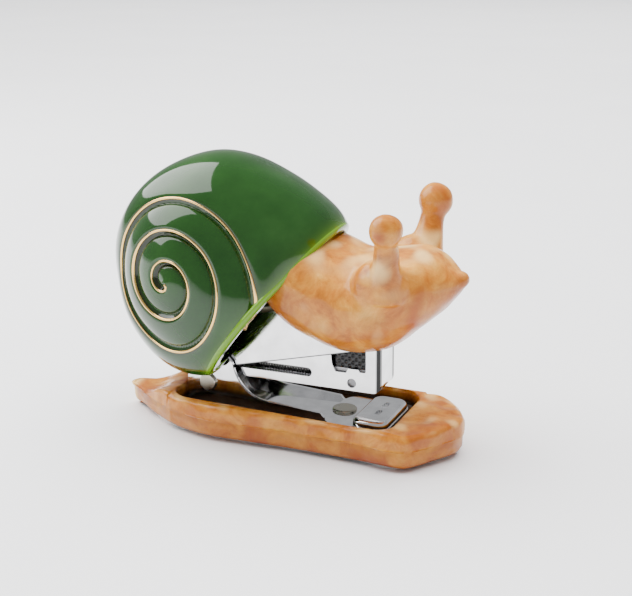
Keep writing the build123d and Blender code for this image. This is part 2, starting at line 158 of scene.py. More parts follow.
# Inset from the plan and height, up the outside and then down into the tray
FOOT_SIDE = (
    (6.0, 0.8), (2.6, 0.85), (1.4, 1.5), (0.5, 3.0), (0.0, 5.2),
    (0.1, 7.4), (0.35, 9.1), (0.8, 10.1), (1.7, 10.6),
)
TRAY_SIDE = (
    (0.0, 10.3), (0.35, 9.6), (0.45, 8.6), (0.5, 7.4), (0.9, 6.6), (1.8, TRAY_FLOOR), (4.0, TRAY_FLOOR),
)

# Metal colours
CHROME = (0.90, 0.90, 0.91)
# Painted shade: near-black blended into the handle's lower edge and the magazine's front bends.
PAINTED_SHADE = (0.03, 0.03, 0.03)
BEVEL = 0.12

# Floor, and the camera of the photo's view
FLOOR_NEAR = -3000.0
FLOOR_FAR = 5000.0
FLOOR_HALF_W = 5000.0
FLOOR_TURN = -0.40
SWEEP_R = 900.0
WALL_TOP = 3500.0
CAMERA_AZIMUTH = 0.40431
CAMERA_ELEVATION = 0.29488
CAMERA_ROLL = 0.010786
CAMERA_PLACE = (133.87, -294.18, 136.97)
CAMERA_LENS = 68.63


# ---------------------------------------------------------------- mesh helpers
def make_object(name, points, faces):
    """A smooth mesh object from points in millimetres."""
    mesh = bpy.data.meshes.new(name)
    mesh.from_pydata((np.asarray(points) * MM).tolist(), [], faces)
    mesh.shade_smooth()
    piece = bpy.data.objects.new(name, mesh)
    bpy.context.scene.collection.objects.link(piece)
    return piece


def object_from(made, name):
    """A mesh object from a bmesh, which is then freed."""
    piece = make_object(name, [(0, 0, 0)], [])
    made.to_mesh(piece.data)
    made.free()
    return piece


def coordinates(piece):
    """Vertex positions of a mesh object, in millimetres."""
    flat = np.empty(len(piece.data.vertices) * 3, np.float32)
    piece.data.vertices.foreach_get("co", flat)
    return flat.reshape(-1, 3).astype(float) / MM


def set_coordinates(piece, points):
    piece.data.vertices.foreach_set("co", (points * MM).astype(np.float32).ravel())
    piece.data.update()


def paint(piece, name, values):
    """Stores one number a vertex, which the materials read."""
    layer = piece.data.attributes.new(name, "FLOAT", "POINT")
    layer.data.foreach_set("value", np.clip(values, 0, 1).astype(np.float32))


def apply_modifiers(piece):
    """Replaces the piece's mesh with what its modifiers make of it."""
    bpy.context.view_layer.update()
    seen = piece.evaluated_get(bpy.context.evaluated_depsgraph_get())
    mesh = bpy.data.meshes.new_from_object(seen)
    piece.modifiers.clear()
    piece.data = mesh
    mesh.shade_smooth()


def cut(piece, cutter):
    """Takes the cutter's volume out of the piece, and removes the cutter."""
    boolean = piece.modifiers.new("cut", "BOOLEAN")
    boolean.object = cutter
    boolean.solver = "EXACT"
    apply_modifiers(piece)
    bpy.data.objects.remove(cutter)


def face_outward(mesh):
    """Turns every face of a closed mesh outward."""
    made = bmesh.new()
    made.from_mesh(mesh)
    bmesh.ops.recalc_face_normals(made, faces=made.faces)
    made.to_mesh(mesh)
    made.free()


def grid_faces(rows, columns, closed=True):
    """Quads between rows of points that are numbered row by row."""
    steps = columns if closed else columns - 1
    quads = []
    for low in range(0, (rows - 1) * columns, columns):
        high = low + columns
        for c in range(steps):
            after = (c + 1) % columns
            quads.append((low + c, low + after, high + after, high + c))
    return quads


def lumps(points, size, seed):
    """Soft noise of about -1 to 1 at each point."""
    shift = Vector((seed * 7.3, seed * 3.1, seed * 5.7))
    return np.array([noise.noise(Vector(p) / size + shift) for p in points])


def smoothstep(low, high, value):
    t = np.clip((value - low) / (high - low), 0, 1)
    return t * t * (3 - 2 * t)


def unit(vectors):
    return vectors / np.linalg.norm(vectors, axis=-1, keepdims=True)


def along_side(tilt, u, v, y=0.0):
    """A point u forward of the pivot and v above it, on a line at this tilt."""
    forward, rise = math.cos(tilt), math.sin(tilt)
    return PIVOT + np.array([u * forward - v * rise, y, u * rise + v * forward])


def spline(points, count):
    """A smooth line through a few points, as Catmull-Rom."""
    points = np.asarray(points, float)
    padded = np.vstack([2 * points[0] - points[1], points, 2 * points[-1] - points[-2]])
    spot = np.linspace(0, len(points) - 1 - 1e-9, count)
    k = spot.astype(int)
    t = (spot - k)[:, None]
    p0, p1, p2, p3 = padded[k], padded[k + 1], padded[k + 2], padded[k + 3]
    square = (2 * p0 - 5 * p1 + 4 * p2 - p3) * t ** 2
    cube = (3 * p1 - p0 - 3 * p2 + p3) * t ** 3
    return 0.5 * (2 * p1 + (p2 - p0) * t + square + cube)


def smooth_line(points, rounds):
    """Evens out a line without moving its ends."""
    points = points.copy()
    for _ in range(rounds):
        points[1:-1] = (points[:-2] + 2 * points[1:-1] + points[2:]) / 4
    return points


def prism(name, outline, half_w):
    """A block with this X and Z outline, both sides of the middle plane."""
    count = len(outline)
    points = [(x, y, z) for y in (-half_w, half_w) for x, z in outline]
    faces = [tuple(range(count))[::-1], tuple(range(count, 2 * count))]
    faces += [(i, (i + 1) % count, count + (i + 1) % count, count + i) for i in range(count)]
    piece = make_object(name, points, faces)
    face_outward(piece.data)
    piece.data.shade_flat()
    return piece


def sweep_band(name, path, normals, half_w, height, closed=False):
    """A rounded band that follows a path and stands this high above it."""
    path = np.asarray(path)
    if closed:
        along = unit(np.roll(path, -1, 0) - np.roll(path, 1, 0))
    else:
        along = unit(np.gradient(path, axis=0))
    side = unit(np.cross(along, normals))
    out = np.cross(side, along)
    around = np.linspace(0, 2 * np.pi, 14, endpoint=False)
    width = np.broadcast_to(half_w, len(path))[:, None, None]
    lift = np.broadcast_to(height, len(path))[:, None, None]
    rings = (
        path[:, None]
        + side[:, None] * np.cos(around)[None, :, None] * width
        + out[:, None] * np.sin(around)[None, :, None] * lift
    )
    sides = len(around)
    last = (len(path) - 1) * sides
    faces = grid_faces(len(path), sides)
    if closed:
        faces += [(last + c, last + (c + 1) % sides, (c + 1) % sides, c) for c in range(sides)]
    else:
        faces += [tuple(range(sides))[::-1], tuple(last + c for c in range(sides))]
    piece = make_object(name, rings.reshape(-1, 3), faces)
    face_outward(piece.data)
    return piece


# ---------------------------------------------------------------- shell
SPIRE_FORWARD = np.array([math.cos(SPIRE_LEAN), -math.sin(SPIRE_LEAN), 0.0])
SPIRE_NORMAL = np.array([
    -math.sin(SPIRE_LEAN) * math.cos(SPIRE_TIP_UP),
    -math.cos(SPIRE_LEAN) * math.cos(SPIRE_TIP_UP),
    math.sin(SPIRE_TIP_UP),
])
SPIRE_UP = np.cross(SPIRE_FORWARD, SPIRE_NORMAL)
SPIRE_UP = SPIRE_UP * np.sign(SPIRE_UP[2])


def spire_reach(direction):
    """How far a ray from the core goes before it leaves the right spire."""
    scale = np.array([SPIRE_FORWARD / SPIRE_R, SPIRE_UP / SPIRE_R, SPIRE_NORMAL / SPIRE_H])
    start = scale @ (SHELL_CORE - SPIRE_CENTRE)
    step = direction @ scale.T
    a = (step * step).sum(-1)
    b = step @ start
    c = start @ start - 1
    return (-b + np.sqrt(b * b - a * c)) / a


def ridge_reach():
    """Distance from the core to the ridge, for evenly spaced directions round the middle plane."""
    outline = np.array(RIDGE) - SHELL_CORE[[0, 2]]
    angle = np.arctan2(outline[:, 1], outline[:, 0])
    around = np.radians(np.arange(-180, 180, 360 / RIDGE_STEPS))
    ring = np.interp(around, angle, np.hypot(outline[:, 0], outline[:, 1]), period=2 * np.pi)
    kernel = np.zeros(RIDGE_STEPS)
    kernel[:RIDGE_SOFTEN] = np.hanning(RIDGE_SOFTEN)
    kernel = np.roll(kernel / kernel.sum(), -(RIDGE_SOFTEN // 2))
    return around, np.fft.ifft(np.fft.fft(ring) * np.fft.fft(kernel)).real


RIDGE_ANGLE, RIDGE_REACH = ridge_reach()


def hood_reach(direction):
    """The hood: the ridge outline in the middle, rounded off to its width at each side."""
    angle = np.arctan2(direction[..., 2], direction[..., 0])
    flat = np.hypot(direction[..., 0], direction[..., 2])
    reach = np.interp(angle, RIDGE_ANGLE, RIDGE_REACH, period=2 * np.pi)
    along = (flat / reach) ** HOOD_POWER
    beside = (np.abs(direction[..., 1]) / HOOD_HALF_W) ** HOOD_POWER
    return (along + beside) ** (-1 / HOOD_POWER)


def shell_reach(direction):
    """Smooth outside of the shell, before its whorls are rolled."""
    parts = [spire_reach(direction), spire_reach(direction * MIRROR), hood_reach(direction)]
    most = np.maximum.reduce(parts)
    total = sum(np.exp((p - most) / SKIN_BLEND) for p in parts)
    return most + SKIN_BLEND * np.log(total) - SKIN_BLEND * 0.25


def spiral_place(points):
    """Distance and angle of points round the spiral's own centre, on the right face."""
    away = points - SPIRE_CENTRE
    x = away @ SPIRE_FORWARD - SPIRAL_OFFSET[0]
    y = away @ SPIRE_UP - SPIRAL_OFFSET[1]
    return np.hypot(x, y), np.degrees(np.arctan2(y, x))


def on_spiral(turns):
    """1 along the spiral, fading to 0 at its two ends."""
    started = smoothstep(SPIRAL_START - 0.15, SPIRAL_START + 0.1, turns)
    return started * (1 - smoothstep(SPIRAL_END - 0.1, SPIRAL_END + 0.12, turns))


def whorl_shape(points):
    """Depth of the rolled whorls below the smooth face, and how near each point is to the groove."""
    radius, angle = spiral_place(points)
    turns = (radius / SPIRAL_PITCH) ** (1 / SPIRAL_POWER)
    first = (SPIRAL_PHASE - angle) / 360
    inner = first + np.floor(turns - first)
    outer = inner + 1
    inside = radius - SPIRAL_PITCH * np.clip(inner, 0, None) ** SPIRAL_POWER
    outside = SPIRAL_PITCH * outer ** SPIRAL_POWER - radius
    groove_in = on_spiral(inner) * np.exp(-(inside / GROOVE_HALF_W) ** 2)
    groove_out = on_spiral(outer) * np.exp(-(outside / GROOVE_HALF_W) ** 2)
    roll_in = on_spiral(inner) * np.exp(-inside / ROLL_IN)
    roll_out = on_spiral(outer) * np.exp(-((outside / ROLL_OUT) ** ROLL_OUT_POWER))
    groove = np.maximum(groove_in, groove_out)
    return GROOVE_DEPTH * groove + WHORL_ROLL * np.maximum(roll_in, roll_out), groove


def shell_half(rings, spokes, inset, rolled):
    """Points and faces of the right half, from the spire's tip to the middle plane."""
    tip = unit(
        SPIRE_CENTRE + SPIRE_FORWARD * SPIRAL_OFFSET[0] + SPIRE_UP * SPIRAL_OFFSET[1]
        + SPIRE_NORMAL * SPIRE_H - SHELL_CORE
    )
    share = np.linspace(0, 1, rings + 1)[1:, None, None]
    angle = np.linspace(0, 2 * np.pi, spokes, endpoint=False)
    edge = np.stack([np.cos(angle), np.zeros(spokes), np.sin(angle)], -1)
    gap = np.arccos(edge @ tip)[None, :, None]
    direction = (np.sin((1 - share) * gap) * tip + np.sin(share * gap) * edge) / np.sin(gap)
    direction = np.vstack([tip[None], direction.reshape(-1, 3)])
    reach = shell_reach(direction) - inset
    points = SHELL_CORE + direction * reach[:, None]
    if rolled:
        points = points - direction * whorl_shape(points)[0][:, None]
    faces = [(0, 1 + (c + 1) % spokes, 1 + c) for c in range(spokes)]
    faces += [tuple(1 + i for i in f)[::-1] for f in grid_faces(rings, spokes)]
    return points, faces


def open_shell(rings, spokes, inset, rolled):
    """One skin of the shell, both halves, with its front cut away at the aperture."""
    made = bmesh.new()
    points, faces = shell_half(rings, spokes, inset, rolled)
    for flip in (False, True):
        placed = points * MIRROR if flip else points
        corners = [made.verts.new(p * MM) for p in placed]
        for face in faces:
            made.faces.new([corners[i] for i in (face[::-1] if flip else face)])
    bmesh.ops.remove_doubles(made, verts=made.verts, dist=1e-7)
    everything = made.verts[:] + made.edges[:] + made.faces[:]
    bmesh.ops.bisect_plane(
        made, geom=everything, dist=1e-8, plane_co=LIP * MM, plane_no=APERTURE_OUT, clear_outer=True,
    )
    return made


def build_shell():
    """Outer and inner skin, joined at the lip, with a slot below for the stapler."""
    rings, spokes = ((150, 480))
    made = open_shell(rings, spokes, 0.0, True)
    inner = open_shell(rings // 3, spokes // 3, SHELL_WALL, False)
    bmesh.ops.reverse_faces(inner, faces=inner.faces)
    mesh = bpy.data.meshes.new("inner_skin")
    inner.to_mesh(mesh)
    inner.free()
    made.from_mesh(mesh)
    bpy.data.meshes.remove(mesh)
    bmesh.ops.bridge_loops(made, edges=[e for e in made.edges if e.is_boundary])
    bmesh.ops.recalc_face_normals(made, faces=made.faces)
    shell = object_from(made, "snail_shell")
    cut(shell, prism("slot", SLOT_OUTLINE, SLOT_HALF_W))
    return shell


def shell_rim():
    """The closed line where the outer skin meets the aperture, found by halving."""
    around = np.linspace(0, 2 * np.pi, RIM_STEPS + 1)[:-1]
    upward = np.cross(APERTURE_OUT, ACROSS)
    level = (LIP - SHELL_CORE) @ APERTURE_OUT
    middle = SHELL_CORE + APERTURE_OUT * level
    low = np.zeros(len(around))
    high = np.full(len(around), 60.0)
    aim = ACROSS * np.cos(around)[:, None] + upward * np.sin(around)[:, None]
    for _ in range(30):
        mid = (low + high) / 2
        place = middle + aim * mid[:, None] - SHELL_CORE
        length = np.linalg.norm(place, axis=1)
        inside = length < shell_reach(place / length[:, None])
        low = np.where(inside, mid, low)
        high = np.where(inside, high, mid)
    return middle + aim * low[:, None]


def build_rim_bead():
    """The rounded bead round the lip, open where the slot is."""
    rim = shell_rim()[::BEAD_STEP]
    path = rim + unit(SHELL_CORE - rim) * BEAD_INSET
    outward = APERTURE_OUT * np.ones((len(path), 1))
    bead = sweep_band("shell_rim_bead", path, outward, BEAD_HALF_W, BEAD_HEIGHT, closed=True)
    paint(bead, "rim", np.full(len(bead.data.vertices), 0.75))
    paint(bead, "groove", np.zeros(len(bead.data.vertices)))
    cut(bead, prism("slot", SLOT_OUTLINE, SLOT_HALF_W))
    return bead


def spiral_path(tree):
    """Points and normals of the groove bottom on the right face."""
    turns = np.linspace(SPIRAL_START, SPIRAL_END, SPIRAL_POINTS)
    radius = SPIRAL_PITCH * turns ** SPIRAL_POWER
    angle = np.radians(SPIRAL_PHASE - 360 * turns)
    x = radius * np.cos(angle) + SPIRAL_OFFSET[0]
    y = radius * np.sin(angle) + SPIRAL_OFFSET[1]
    wanted = np.stack([x, y], -1)
    aim = wanted.copy()
    for _ in range(40):
        height = SPIRE_H * np.sqrt(np.clip(1 - (aim ** 2).sum(-1) / (SPIRE_R * 1.06) ** 2, 0.02, 1))
        flat = SPIRE_CENTRE + aim[:, :1] * SPIRE_FORWARD + aim[:, 1:] * SPIRE_UP
        direction = unit(flat + height[:, None] * SPIRE_NORMAL - SHELL_CORE)
        point = SHELL_CORE + direction * shell_reach(direction)[:, None]
        away = point - SPIRE_CENTRE
        got = np.stack([away @ SPIRE_FORWARD, away @ SPIRE_UP], -1)
        aim = aim + 0.6 * (wanted - got)
    path = []
    normals = []
    for spot in point:
        place, normal, _, _ = tree.find_nearest(Vector(spot) * MM)
        path.append(np.array(place) / MM)
        normals.append(np.array(normal))
    return smooth_line(np.array(path), 6), unit(smooth_line(np.array(normals), 12))


def build_gold(shell):
    """The gold line that lies in the groove, on each face."""
    skin = bmesh.new()
    skin.from_mesh(shell.data)
    tree = BVHTree.FromBMesh(skin)
    skin.free()
    path, normals = spiral_path(tree)
    share = np.linspace(0, 1, len(path))
    swell = 0.12 * np.sin(np.pi * share) + 0.07 * np.sin(share * 31)
    width = 0.30 + swell + 0.45 * smoothstep(0.955, 0.985, share)
    trims = []
    for flip, name in ((np.ones(3), "right"), (MIRROR, "left")):
        trim = sweep_band(f"gold_spiral_{name}", path * flip, normals * flip, width, GOLD_HEIGHT)
        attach(trim, "handle")
        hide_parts(f"spiral_trim_{name}")
        trims.append(trim)
    return trims


# ---------------------------------------------------------------- head
def closed_loft(made, rings):
    """Adds a closed tube through rings of points to a bmesh."""
    loops = [[made.verts.new(Vector(p) * MM) for p in ring] for ring in rings]
    count = len(loops[0])
    for a, b in zip(loops, loops[1:]):
        for c in range(count):
            made.faces.new((a[c], a[(c + 1) % count], b[(c + 1) % count], b[c]))
    made.faces.new(loops[0][::-1])
    made.faces.new(loops[-1])


def add_ball(made, centre, radii):
    ball = Matrix.Translation(Vector(centre) * MM) @ Matrix.Diagonal((*[r * MM for r in radii], 1))
    bmesh.ops.create_icosphere(made, subdivisions=4, radius=1, matrix=ball)


def add_head_parts(made):
    """Adds the closed parts that the head is remeshed from: body, nose, cheeks, stalks and eyes."""
    around = np.linspace(0, 2 * np.pi, 48, endpoint=False)
    cosine, sine = np.cos(around), np.sin(around)
    rings = []
    for x, top, bottom, half_w in spline(HEAD_SECTIONS, 60):
        y = half_w * np.sign(cosine) * np.abs(cosine) ** SECTION_POWER
        z = (top + bottom) / 2 + (top - bottom) / 2 * np.sign(sine) * np.abs(sine) ** SECTION_POWER
        rings.append(np.stack([np.full(len(around), x), y, z], -1))
    closed_loft(made, rings)
    add_ball(made, NOSE, NOSE_RADII)
    for side in (-1, 1):
        flip = np.array([1, side, 1])
        root = np.array(STALK_ROOT) * flip
        eye = np.array(EYE) * flip
        line = spline([root, root + (eye - root) * 0.45 + (0, 0, 0.6), eye], 24)
        radii = STALK_RADII[side] + STALK_FLARE * (1 - np.linspace(0, 1, 24)) ** 2.2
        axis = unit(eye - root)
        first = unit(np.cross(axis, (1.0, 0.0, 0.0)))
        second = np.cross(axis, first)
        spoke = cosine[:, None] * first + sine[:, None] * second
        closed_loft(made, [p + r * spoke for p, r in zip(line, radii)])
        add_ball(made, eye, [EYE_RADII[side]] * 3)
        add_ball(made, np.array(CHEEK) * flip, CHEEK_RADII)


def pocket_cutter():
    """The hollow that clears the front of the magazine as the handle turns."""
    turn = np.linspace(POCKET_LOW, math.asin(POCKET_ROOF / POCKET_R), 24)
    arc = [(POCKET_R * math.cos(t), POCKET_R * math.sin(t)) for t in turn]
    outline = [(0.0, POCKET_ROOF), (0.0, arc[0][1])] + arc
    placed = [along_side(HANDLE_TILT, u, v) for u, v in outline]
    return prism("pocket", [(x, z) for x, _, z in placed], POCKET_HALF_W)


def build_head():
    made = bmesh.new()
    add_head_parts(made)
    bmesh.ops.recalc_face_normals(made, faces=made.faces)
    head = object_from(made, "snail_head")
    remesh = head.modifiers.new("remesh", "REMESH")
    remesh.mode = "VOXEL"
    remesh.voxel_size = 0.5 * MM
    soften = head.modifiers.new("soften", "SMOOTH")
    soften.factor = 0.5
    soften.iterations = 14
    apply_modifiers(head)
    points = coordinates(head)
    wave = 0.38 * lumps(points, 9.0, 1) + 0.16 * lumps(points, 4.0, 2)
    normals = np.empty(len(points) * 3, np.float32)
    head.data.vertices.foreach_get("normal", normals)
    set_coordinates(head, points + normals.reshape(-1, 3) * wave[:, None])
    cut(head, pocket_cutter())
    return head


def paint_head(head):
    """Pool: orange at the lower edge, the neck and stains. Cream: painted highlight on the high spots on
    top, and pale patches at random.
    """
    points = coordinates(head)
    x, y, z = points.T
    low_edge = np.interp(x, [s[0] for s in HEAD_SECTIONS], [s[2] for s in HEAD_SECTIONS])
    edge = np.exp(-np.clip(z - low_edge, 0, None) / 3.0)
    neck = 0.6 * smoothstep(12, 0, x)
    patches = 0.3 * smoothstep(0.1, 0.5, lumps(points, 12, 8))
    drip = np.exp(-((y - 17) / 2.0) ** 2) * smoothstep(52, 62, z) * smoothstep(33, 36, x)
    eye_spot = 0
    for side in (-1, 1):
        spot = (EYE[0] - 0.6, side * (EYE[1] + EYE_RADII[side]), EYE[2] - 0.6)
        eye_spot = eye_spot + np.exp(-(np.linalg.norm(points - spot, axis=1) / 2.2) ** 2)
    streak = np.exp(-((x - 41.5 - 0.25 * (z - 45)) / 1.5) ** 2)
    streak = streak * smoothstep(34, 40, z) * smoothstep(54, 49, z)
    pool = 0.75 * (edge + neck + patches)
    paint(head, "pool", pool + 0.6 * drip + 0.75 * eye_spot + 0.45 * streak)
    # Painted highlight: cream on the high spots along the top of the head.
    top = smoothstep(50, 56, z) * smoothstep(60, 57, z) * smoothstep(-0.1, 0.5, lumps(points, 7, 6))
    paint(head, "cream_and_highlight", 0.7 * top + 0.2 * smoothstep(0.1, 0.6, lumps(points, 6, 7)))


# ---------------------------------------------------------------- foot
def foot_outline(count):
    """Plan of the foot, evenly spaced, anticlockwise from the tail."""
    loop = np.array(FOOT_PLAN)
    fine = spline(np.vstack([loop, loop, loop, loop[:1]]), 6001)[2000:4000]
    closed = np.vstack([fine, fine[:1]])
    length = np.concatenate([[0], np.cumsum(np.linalg.norm(np.diff(closed, axis=0), axis=1))])
    spot = np.linspace(0, length[-1], count, endpoint=False)
    return np.stack([np.interp(spot, length, closed[:, k]) for k in (0, 1)], -1)


def to_tray(points):
    """The nearest place on the tray's rounded rectangle to each point."""
    low = np.array([TRAY_REAR, -TRAY_HALF_W]) + TRAY_CORNER
    high = np.array([TRAY_FRONT, TRAY_HALF_W]) - TRAY_CORNER
    core = np.clip(points, low, high)
    return core + unit(points - core) * TRAY_CORNER


def foot_rows(count):
    """Rings of points: the underside, up the wall, over the rim and down into the tray."""
    outline = foot_outline(count)
    ahead = np.roll(outline, -1, 0) - np.roll(outline, 1, 0)
    outward = unit(np.stack([ahead[:, 1], -ahead[:, 0]], -1))
    tray = to_tray(outline)
    rows = []
    for inset, z in spline(FOOT_SIDE, 40):
        rows.append(np.column_stack([outline - outward * inset, np.full(count, max(z, PAD_TOP))]))
    shoulder = rows[-1][:, :2]
    for share in np.linspace(0, 1, 14)[1:-1]:
        level = np.full(count, FOOT_TOP + 0.1)
        rows.append(np.column_stack([shoulder + (tray - shoulder) * share, level]))
    centre = np.clip(tray, (TRAY_REAR + 12, 0), (TRAY_FRONT - 12, 0))
    inward = unit(centre - tray)
    for inset, z in spline(TRAY_SIDE, 18):
        rows.append(np.column_stack([tray + inward * inset, np.full(count, z)]))
    return rows


def foot_relief(points):
    """Moves the foot's points as a hand-shaped casting has them, and dips the tail.

    The rule that keeps the tray floor flat also holds the middle of the outer wall at that height,
    which makes the small step along the foot's side.
    """
    x, y, z = points.T
    high = smoothstep(6.0, FOOT_TOP, z)
    outer = smoothstep(0.8, 3.0, z)
    wave = 0.7 * lumps(points, 9.0, 3) + 0.3 * lumps(points, 4.0, 4)
    beside = np.abs(y) > TRAY_HALF_W + 0.4
    beyond = (x < TRAY_REAR - 0.4) | (x > TRAY_FRONT + 0.4)
    around = np.where(beside | beyond, 1.0, 0.0)
    low = z < TRAY_FLOOR + 0.3
    rise = (0.7 * lumps(points, 10.0, 5) + 0.25 * lumps(points, 4.0, 6)) * high * around
    tail_dip = -4.0 * smoothstep(-33, -45, x) * high
    z = z + rise + tail_dip
    side_move = wave * outer * around
    y = y + np.sign(y) * side_move * smoothstep(1.0, 4.0, np.abs(y))
    x = x + np.where(np.abs(y) < 4, np.sign(x) * side_move, 0)
    z = np.where(low & (z > 3), TRAY_FLOOR, z)
    return np.stack([x, y, np.maximum(z, PAD_TOP)], -1)


def build_foot():
    count = 720
    rows = foot_rows(count)
    faces = grid_faces(len(rows), count)
    faces.append(tuple(range(count))[::-1])
    faces.append(tuple((len(rows) - 1) * count + c for c in range(count)))
    foot = make_object("snail_foot", foot_relief(np.vstack(rows)), faces)
    face_outward(foot.data)
    return foot


def paint_foot(foot):
    """Pool: orange at the ground. Tray: the dark inside. Cream: the tail tip, and a painted highlight
    along the rim's edge.
    """
    points = coordinates(foot)
    x, y, z = points.T
    ground = 0.7 * np.exp(-np.clip(z - 1.2, 0, None) / 1.3)
    paint(foot, "pool", ground + 0.5 * smoothstep(0.15, 0.5, lumps(points, 10, 9)))
    inside = (np.abs(y) < TRAY_HALF_W - 0.2) & (x > TRAY_REAR + 0.2) & (x < TRAY_FRONT - 0.2)
    paint(foot, "tray", np.where(inside, smoothstep(9.0, 7.0, z), 0.0))
    tail_tip = smoothstep(-47, -51, x)
    # Painted highlight: cream along the top edge of the rim.
    rim_highlight_paint = smoothstep(9.3, 10.4, z) * smoothstep(0.0, 0.6, lumps(points, 5, 10))
    paint(foot, "cream_and_highlight", 0.95 * tail_tip + 0.5 * rim_highlight_paint)


# ---------------------------------------------------------------- springs
def wire(name, path, radius):
    """A round wire along a line of points."""
    path = np.asarray(path)
    along = unit(np.gradient(path, axis=0))
    normals = np.tile((0.0, 1.0, 0.0), (len(path), 1))
    flat = np.abs(along[:, 1]) > 0.9
    normals[flat] = (0.0, 0.0, 1.0)
    normals = unit(normals - along * (normals * along).sum(-1, keepdims=True))
    return sweep_band(name, path, normals, radius, radius)


def build_follower_spring():
    """The coil behind the follower."""
    ahead = np.array([math.cos(MAGAZINE_TILT), 0.0, math.sin(MAGAZINE_TILT)])
    rise = np.array([-math.sin(MAGAZINE_TILT), 0.0, math.cos(MAGAZINE_TILT)])
    rear = along_side(MAGAZINE_TILT, COIL_REAR, COIL_V)
    turn = np.linspace(0, 2 * np.pi * COIL_TURNS, 20 * COIL_TURNS)
    share = (turn / turn[-1])[:, None]
    spoke = np.cos(turn)[:, None] * ACROSS + np.sin(turn)[:, None] * rise
    path = rear + ahead * share * COIL_LENGTH + spoke * COIL_R
    piece = sweep_band("follower_coil", path, spoke, COIL_WIRE_R, COIL_WIRE_R)
    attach(piece, "magazine")
    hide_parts("follower_spring")
    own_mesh(piece)
    return [piece]


def build_handle_spring():
    """Torsion spring: coil and lower leg stay on the magazine, the upper leg turns with the handle."""
    turn = np.linspace(0, 2 * np.pi * TORSION_TURNS, TORSION_POINTS)
    spoke = np.stack([np.cos(turn), np.zeros(TORSION_POINTS), np.sin(turn)], -1)
    sideways = np.linspace(-TORSION_HALF_W, TORSION_HALF_W, TORSION_POINTS)[:, None]
    path = PIVOT + spoke * TORSION_R + ACROSS * sideways
    coil = sweep_band("torsion_coil", path, spoke, TORSION_WIRE_R, TORSION_WIRE_R)
    low = [along_side(MAGAZINE_TILT, u, v, -LEG_Y) for u, v in LOWER_LEG]
    high = [along_side(HANDLE_TILT, u, v, LEG_Y) for u, v in UPPER_LEG]
    lower_leg = wire("torsion_leg_lower", spline(low, 12), TORSION_WIRE_R)
    upper_leg = wire("torsion_leg_upper", spline(high, 12), TORSION_WIRE_R)
    for piece, body in ((coil, "magazine"), (lower_leg, "magazine"), (upper_leg, "handle")):
        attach(piece, body)
        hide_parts("handle_spring")
    return [coil, lower_leg, upper_leg]


def build_leaf_spring():
    """The curved leaf under the magazine."""
    line = spline([(x, 0.0, z) for x, z in LEAF_LINE], 60)
    along = unit(np.gradient(line, axis=0))
    normals = np.cross(along, np.tile((0.0, 1.0, 0.0), (len(line), 1)))
    piece = sweep_band("leaf_spring", line, normals, LEAF_HALF_W, LEAF_T / 2)
    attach(piece, "base")
    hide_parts("return_leaf_spring")
    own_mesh(piece)
    return [piece]


# ---------------------------------------------------------------- materials
def new_material(name, **settings):
    """A material with a Principled shader. Settings are its socket names with _ for a space."""
    material = bpy.data.materials.new(name)
    material.use_nodes = True
    tree = material.node_tree
    shader = tree.nodes["Principled BSDF"]
    for key, value in settings.items():
        shader.inputs[key.replace("_", " ")].default_value = value
    return material, tree, shader


def node(tree, kind, inputs=None, **settings):
    """Adds a node. Inputs are numbers, colours or sockets, by socket name or number."""
    made = tree.nodes.new(kind)
    for key, value in settings.items():
        setattr(made, key, value)
    for key, value in (inputs or {}).items():
        if isinstance(value, bpy.types.NodeSocket):
            tree.links.new(value, made.inputs[key])
        else:
            made.inputs[key].default_value = value
    return made


def object_place(tree):
    return node(tree, "ShaderNodeTexCoord").outputs["Object"]


def place_noise(tree, scale, detail=4.0, roughness=0.55, warp=0.0):
    """Noise fixed to the piece. Scale is features a metre."""
    made = node(tree, "ShaderNodeTexNoise", {
        "Vector": object_place(tree), "Scale": scale, "Detail": detail,
        "Roughness": roughness, "Distortion": warp,
    })
    return made.outputs["Fac"]


def ramp(tree, value, *stops):
    """Colour ramp from (position, colour) stops."""
    made = node(tree, "ShaderNodeValToRGB", {"Fac": value})
    band = made.color_ramp
    while len(band.elements) < len(stops):
        band.elements.new(0.5)
    for element, (position, colour) in zip(band.elements, stops):
        element.position = position
        element.color = (*colour, 1.0)
    return made.outputs["Color"]


def mix(tree, share, first, second, blend="MIX"):
    made = node(tree, "ShaderNodeMix", data_type="RGBA", blend_type=blend)
    for key, value in (("Factor", share), ("A", first), ("B", second)):
        socket = [s for s in made.inputs if s.name == key and s.enabled][0]
        if isinstance(value, bpy.types.NodeSocket):
            tree.links.new(value, socket)
        else:
            socket.default_value = value if key == "Factor" else (*value, 1.0)
    return [s for s in made.outputs if s.enabled][0]


def spread(tree, value, low, high, out_low=0.0, out_high=1.0):
    """Maps a value from one range to another, held at the ends."""
    made = node(tree, "ShaderNodeMapRange", {
        "Value": value, "From Min": low, "From Max": high, "To Min": out_low, "To Max": out_high,
    })
    return made.outputs["Result"]


def attribute(tree, name):
    return node(tree, "ShaderNodeAttribute", attribute_name=name).outputs["Fac"]


def along_direction(tree, direction):
    """How far each place on the surface lies along a direction, in metres."""
    made = node(
        tree, "ShaderNodeVectorMath", {0: object_place(tree), 1: direction}, operation="DOT_PRODUCT",
    )
    return made.outputs["Value"]


def add_bump(tree, shader, height, distance, strength=1.0):
    made = node(tree, "ShaderNodeBump", {"Height": height, "Distance": distance, "Strength": strength})
    tree.links.new(made.outputs["Normal"], shader.inputs["Normal"])


def set_colour(tree, shader, socket):
    tree.links.new(socket, shader.inputs["Base Color"])


def set_roughness(tree, shader, value, low, high, smooth, rough):
    """Roughness that follows a value between two levels."""
    tree.links.new(spread(tree, value, low, high, smooth, rough), shader.inputs["Roughness"])


